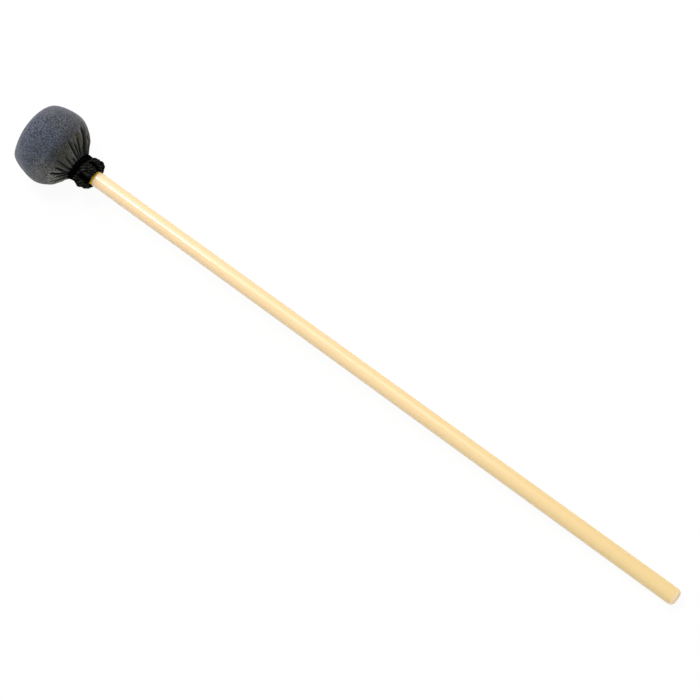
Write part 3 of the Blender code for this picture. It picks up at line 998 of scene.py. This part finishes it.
def make_suede():
    """Suede with a short nap: blue-grey at the front, olive towards the neck, painted shade down in its
    folds and on its bound tail, painted highlight on its ridges and lips, and painted light on its lower
    back.
    """
    shade = Shader("suede")
    place = shade.place()
    cloud = shade.noise(place, *CLOUD)
    fleck = shade.noise(place, *FLECK)
    nap = shade.noise(place, *NAP)
    grain = shade.noise(place, *GRAIN)
    x = shade.vector_math("DOT_PRODUCT", place, (1.0, 0.0, 0.0))
    back = shade.math("ADD", x, shade.span(cloud, *NOISE_SPAN, -ZONE_DRIFT, ZONE_DRIFT))
    upper = shade.vector_math("DOT_PRODUCT", place, UPPER)

    colour = shade.mix(shade.zone(back, MIDDLE_ZONE), SUEDE_FRONT, SUEDE_MIDDLE)
    colour = shade.mix(shade.zone(back, BACK_ZONE, smooth_ends=True), colour, SUEDE_BACK)
    # Painted light on the lower side of the back
    lower_painted_light = shade.math("MULTIPLY", shade.span(upper, *LOWER_LIGHT_SIDE), shade.zone(back, LOWER_LIGHT_ZONE))
    colour = shade.mix(lower_painted_light, colour, SUEDE_LOWER_PAINTED_LIGHT)
    tinted = shade.mix(1.0, colour, SUEDE_UPPER_TINT, "MULTIPLY")
    colour = shade.mix(shade.span(upper, *UPPER_SIDE), colour, tinted)
    speck = shade.span(nap, *NAP_SPECKLE)
    for source, speckle in ((fleck, FLECK_SPECKLE), (grain, GRAIN_SPECKLE), (cloud, CLOUD_SPECKLE)):
        speck = shade.math("MULTIPLY", speck, shade.span(source, *speckle))
    colour = shade.mix(1.0, colour, speck, "MULTIPLY")

    # Painted shade down in the folds, stronger towards the neck, and painted highlight on the ridges between
    # them and on the lips beside them
    fold = shade.node("Attribute", attribute_name="fold").outputs["Fac"]
    dark = shade.mix(1.0, colour, FOLD_PAINTED_SHADE, "MULTIPLY")
    ridge_highlight = shade.math("MULTIPLY", shade.span(fold, *FLAT_HIGHLIGHT_SPAN), shade.zone(x, RIDGE_HIGHLIGHT_ZONE))
    ridge_highlight = shade.math("MULTIPLY", ridge_highlight, RIDGE_HIGHLIGHT_SHARE)
    ridge_highlight = shade.math("MAXIMUM", ridge_highlight, shade.span(fold, *LIP_HIGHLIGHT_SPAN))
    colour = shade.mix(ridge_highlight, colour, shade.mix(1.0, colour, RIDGE_PAINTED_HIGHLIGHT, "MULTIPLY"))
    fold_shade_strength = shade.math("MULTIPLY", fold, shade.zone(x, FOLD_SHADE_ZONE, 1.0, NECK_FOLD_SHADE))
    colour = shade.mix(shade.span(fold_shade_strength, *FOLD_SHADE_SPAN), colour, dark)
    # Painted shade on the bound tail under the binding
    colour = shade.mix(shade.zone(x, TAIL_SHADE_ZONE), colour, TAIL_PAINTED_SHADE)

    normal = shade.bump(grain, *GRAIN_BUMP, shade.bump(nap, *NAP_BUMP))
    shade.fill(shade.surface, Specular_IOR_Level=0.15, Sheen_Weight=SUEDE_SHEEN)
    shade.fill(shade.surface, Sheen_Roughness=0.45, Sheen_Tint=SUEDE_SHEEN_TINT)
    return shade.finish(colour, shade.span(nap, *NOISE_SPAN, *SUEDE_ROUGHNESS), normal)


def make_birch():
    """Lacquered birch: grain along it, painted contact shade in amber where it meets the collar, and paler
    bare end grain at its butt, partly painted light, with painted shade on its rim away from the camera.
    """
    shade = Shader("birch")
    broad = shade.noise(shade.place(BROAD_GRAIN), 1.0)
    fine = shade.noise(shade.place(FINE_GRAIN), *FINE_NOISE)
    pores = shade.noise(shade.place(PORE_GRAIN), 1.0)
    x = shade.vector_math("DOT_PRODUCT", shade.place(), (1.0, 0.0, 0.0))

    colour = shade.mix(shade.span(broad, *NOISE_SPAN), BIRCH_LIGHT, BIRCH_DARK)
    colour = shade.mix(shade.span(fine, *FINE_SPAN), colour, BIRCH_STREAK)
    colour = shade.mix(shade.span(pores, *PORE_SPAN), colour, BIRCH_PORE)
    colour = shade.mix(shade.zone(x, (FAR_START, OVERALL_LENGTH), 0.0, FAR_SHARE), colour, BIRCH_FAR)
    # Painted contact shade, in amber, where the wood meets the collar
    colour = shade.mix(shade.zone(x, CONTACT_SHADE_ZONE, 1.0, 0.0, smooth_ends=True), colour, BIRCH_CONTACT_SHADE)

    # Paler end grain with its growth rings at the butt, partly painted light on the end, and painted shade
    # on the butt's rim on the side away from the camera
    flat_place = shade.place((0.0, 1.0, 1.0))
    rings = shade.node("TexWave", wave_type="RINGS", rings_direction="X")
    shade.fill(rings, Vector=flat_place, **GROWTH_RINGS)
    ring = shade.math("MULTIPLY", rings.outputs["Fac"], RING_SHARE)
    end_grain_and_light = shade.mix(ring, BUTT_LIGHT, BUTT_DARK)
    rim_shade_distance = shade.vector_math("DISTANCE", flat_place, FACING * BUTT_RIM_SHADE_CENTRE * MM)
    far_rim_shade = shade.span(rim_shade_distance, *RIM_SHADE_REACH)
    colour = shade.mix(shade.span(x, *END_GRAIN_AND_LIGHT_SPAN, smooth_ends=True), colour, end_grain_and_light)
    colour = shade.mix(shade.math("MULTIPLY", shade.span(x, *RIM_SHADE_SPAN), far_rim_shade), colour, BUTT_RIM_SHADE)

    normal = shade.bump(pores, *PORE_BUMP, shade.bump(fine, *FINE_BUMP))
    shade.fill(shade.surface, Coat_Roughness=0.13, Coat_IOR=1.45, Specular_IOR_Level=0.2)
    shade.fill(shade.surface, Coat_Weight=shade.span(x, *LACQUER_EDGE, LACQUER, 0.0))
    return shade.finish(colour, shade.span(fine, *NOISE_SPAN, *BIRCH_ROUGHNESS), normal)


def make_fibre(name, colours, roughness, scale, depth):
    """Thread or cord: dark fibres with painted shade in their grooves and a painted highlight on their tops.
    """
    shade = Shader(name)
    strands = shade.noise(shade.place(STRAND_STRETCH), scale, *STRAND_NOISE)
    fuzz = shade.noise(shade.place(), scale * FUZZ_SCALE)
    crest = shade.node("Attribute", attribute_name="crest").outputs["Fac"]
    # Painted highlight on the ply tops and painted shade in the grooves, broken up by the fibres
    tops = shade.math("MULTIPLY", shade.span(strands, *STRAND_SPAN), shade.span(crest, *CREST_SPAN))
    tone = shade.mix(tops, *colours)
    tone = shade.mix(1.0, tone, shade.span(fuzz, *NOISE_SPAN, *FUZZ_SHADES), "MULTIPLY")
    normal = shade.bump(fuzz, FUZZ_BUMP, depth / 3, shade.bump(strands, STRAND_BUMP, depth))
    shade.fill(shade.surface, Specular_IOR_Level=0.0)
    rough = shade.span(fuzz, *NOISE_SPAN, *(roughness + change for change in FUZZ_ROUGHNESS))
    return shade.finish(tone, rough, normal)


def make_felt(name, light, dark):
    """Pressed felt, for the layers that the cover hides."""
    shade = Shader(name)
    wool = shade.noise(shade.place(), *FELT_NOISE)
    tone = shade.mix(shade.span(wool, *NOISE_SPAN), dark, light)
    shade.fill(shade.surface, Sheen_Weight=0.3, Specular_IOR_Level=0.2)
    rough = shade.span(wool, *NOISE_SPAN, *FELT_ROUGHNESS)
    return shade.finish(tone, rough, shade.bump(wool, *FELT_BUMP))


def make_rubber():
    """Moulded rubber, for the core that the cover hides."""
    shade = Shader("core_rubber")
    skin = shade.noise(shade.place(), *RUBBER_NOISE)
    tone = shade.mix(shade.span(skin, *NOISE_SPAN), RUBBER_DARK, RUBBER_LIGHT)
    rough = shade.span(skin, *NOISE_SPAN, *RUBBER_ROUGHNESS)
    return shade.finish(tone, rough, shade.bump(skin, *RUBBER_BUMP))


def repaint(node, material):
    """Give a CAD node that stays its finished material."""
    for slot in node.material_slots:
        slot.material = material


def add_camera():
    """Camera at the photograph's viewing angle and distance."""
    azimuth = math.radians(CAMERA_AZIMUTH)
    elevation = math.radians(CAMERA_ELEVATION)
    back = Vector((
        math.sin(azimuth) * math.cos(elevation),
        -math.cos(azimuth) * math.cos(elevation),
        math.sin(elevation),
    ))
    right = Vector((math.cos(azimuth), math.sin(azimuth), 0.0))
    up = back.cross(right)
    target = VIEW_CENTRE + (right * VIEW_SHIFT[0] + up * VIEW_SHIFT[1]) * MM_PER_PIXEL * MM
    data = bpy.data.cameras.new("camera")
    data.sensor_width = SENSOR_WIDTH
    data.lens = FOCAL_PIXELS / FRAME_PIXELS * SENSOR_WIDTH
    camera = bpy.data.objects.new("camera", data)
    matrix = Matrix((right, up, back)).transposed().to_4x4()
    matrix.translation = target + back * CAMERA_DISTANCE
    camera.matrix_world = matrix
    bpy.context.scene.collection.objects.link(camera)
    bpy.context.scene.camera = camera
    return matrix.translation


def add_light(name, place, target, size, power):
    """A soft rectangular lamp that faces a target."""
    data = bpy.data.lights.new(name, "AREA")
    data.shape = "RECTANGLE"
    data.size, data.size_y = size
    data.energy = power
    lamp = bpy.data.objects.new(name, data)
    back = (place - target).normalized()
    side = Vector((1.0, 0.0, 0.0)).cross(back).normalized()
    matrix = Matrix((back.cross(side), side, back)).transposed().to_4x4()
    matrix.translation = place
    lamp.matrix_world = matrix
    bpy.context.scene.collection.objects.link(lamp)


def resting_plane(pieces):
    """Slope and height of the plane that the head and the butt both rest on."""
    points = []
    for piece in pieces:
        place = np.empty(len(piece.data.vertices) * 3)
        piece.data.vertices.foreach_get("co", place)
        points.append(place.reshape(-1, 3)[:, (0, 2)])
    head, handle = points
    low, high = 0.0, SLOPE_LIMIT
    for _ in range(SLOPE_HALVINGS):
        slope = (low + high) / 2
        head_low = (head[:, 1] - slope * head[:, 0]).min()
        handle_low = (handle[:, 1] - slope * handle[:, 0]).min()
        if handle_low > head_low:
            low = slope
        else:
            high = slope
    return slope, head_low


def seen_directly(tree):
    """Socket that is 1 for what the camera sees, also in gloss and through glass, and 0 for the rest."""
    path = tree.nodes.new("ShaderNodeLightPath")
    seen = path.outputs["Is Camera Ray"]
    for ray in ("Is Glossy Ray", "Is Transmission Ray"):
        either = tree.nodes.new("ShaderNodeMath")
        either.operation = "MAXIMUM"
        tree.links.new(seen, either.inputs[0])
        tree.links.new(path.outputs[ray], either.inputs[1])
        seen = either.outputs[0]
    return seen


def seen_white(name):
    """Pale floor that the camera, gloss and glass see as white, with the object's shadow on it."""
    material = bpy.data.materials.new(name)
    material.use_nodes = True
    tree = material.node_tree
    tree.nodes.clear()
    output = tree.nodes.new("ShaderNodeOutputMaterial")
    diffuse = tree.nodes.new("ShaderNodeBsdfDiffuse")
    diffuse.inputs["Color"].default_value = (FLOOR_COLOUR, FLOOR_COLOUR, FLOOR_COLOUR, 1.0)
    glow = tree.nodes.new("ShaderNodeEmission")
    share = tree.nodes.new("ShaderNodeMath")
    share.operation = "MULTIPLY"
    tree.links.new(seen_directly(tree), share.inputs[0])
    share.inputs[1].default_value = FLOOR_GLOW
    mix = tree.nodes.new("ShaderNodeMixShader")
    tree.links.new(share.outputs[0], mix.inputs["Fac"])
    tree.links.new(diffuse.outputs[0], mix.inputs[1])
    tree.links.new(glow.outputs[0], mix.inputs[2])
    tree.links.new(mix.outputs[0], output.inputs["Surface"])
    return material


def add_floor(pieces):
    """Wide floor under the head and the butt."""
    slope, height = resting_plane(pieces)
    mesh = bpy.data.meshes.new("floor")
    reach = FLOOR_REACH
    corners = [(-reach, -reach), (reach, -reach), (reach, reach), (-reach, reach)]
    mesh.from_pydata([(x, y, height + slope * x) for x, y in corners], [], [(0, 1, 2, 3)])
    mesh.materials.append(seen_white("floor_white"))
    floor = bpy.data.objects.new("floor", mesh)
    bpy.context.scene.collection.objects.link(floor)


def add_world():
    """Even pale surroundings: seen as white, and lighting the object plainly."""
    world = bpy.data.worlds.new("surroundings")
    bpy.context.scene.world = world
    world.use_nodes = True
    tree = world.node_tree
    background = tree.nodes["Background"]
    background.inputs["Color"].default_value = (1.0, 1.0, 1.0, 1.0)
    strength = tree.nodes.new("ShaderNodeMapRange")
    strength.inputs["To Min"].default_value = WORLD_LEVEL
    tree.links.new(seen_directly(tree), strength.inputs["Value"])
    tree.links.new(strength.outputs["Result"], background.inputs["Strength"])


def add_lights(eye):
    """Key and fill over the whole, and a lamp whose mirror image runs along the handle near the collar."""
    target = Vector((along(OVERALL_LENGTH / 2), 0.0, 0.0))
    key = Vector(outward(KEY_ANGLE)) + Vector((KEY_LEAN, 0.0, 0.0))
    add_light("key", target + key.normalized() * KEY_DISTANCE, target, KEY_SIZE, KEY_POWER)
    fill = Vector(outward(FILL_ANGLE)) + Vector((FILL_LEAN, 0.0, 0.0))
    add_light("fill", target + fill.normalized() * FILL_DISTANCE, target, FILL_SIZE, FILL_POWER)

    gloss = Vector((along(STREAK_STATION), 0.0, 0.0))
    normal = Vector(outward(STREAK_ANGLE))
    spot = gloss + normal * handle_radius(STREAK_STATION) * MM
    view = (eye - spot).normalized()
    mirrored = normal * (2 * view.dot(normal)) - view
    add_light("streak", spot + mirrored * STREAK_DISTANCE, spot, STREAK_SIZE, STREAK_POWER)


def main():
    """Dress the frame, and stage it."""
    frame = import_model()

    suede = make_suede()
    birch = make_birch()
    thread = make_fibre("black_thread", THREAD_SHADE_TO_HIGHLIGHT, *THREAD_FIBRE)
    cord = make_fibre("black_cord", CORD_SHADE_TO_HIGHLIGHT, *CORD_FIBRE)

    handle = build_handle(birch)
    cover = build_cover(suede)
    build_binding(thread)
    build_collar(cord)
    nodes = frame["nodes"]
    repaint(nodes["core"], make_rubber())
    for node, (name, light, dark) in FELTS.items():
        repaint(nodes[node], make_felt(name, light, dark))

    eye = add_camera()
    add_floor([cover, handle])
    add_world()
    add_lights(eye)
    bpy.context.scene.view_settings.view_transform = "Standard"


main()
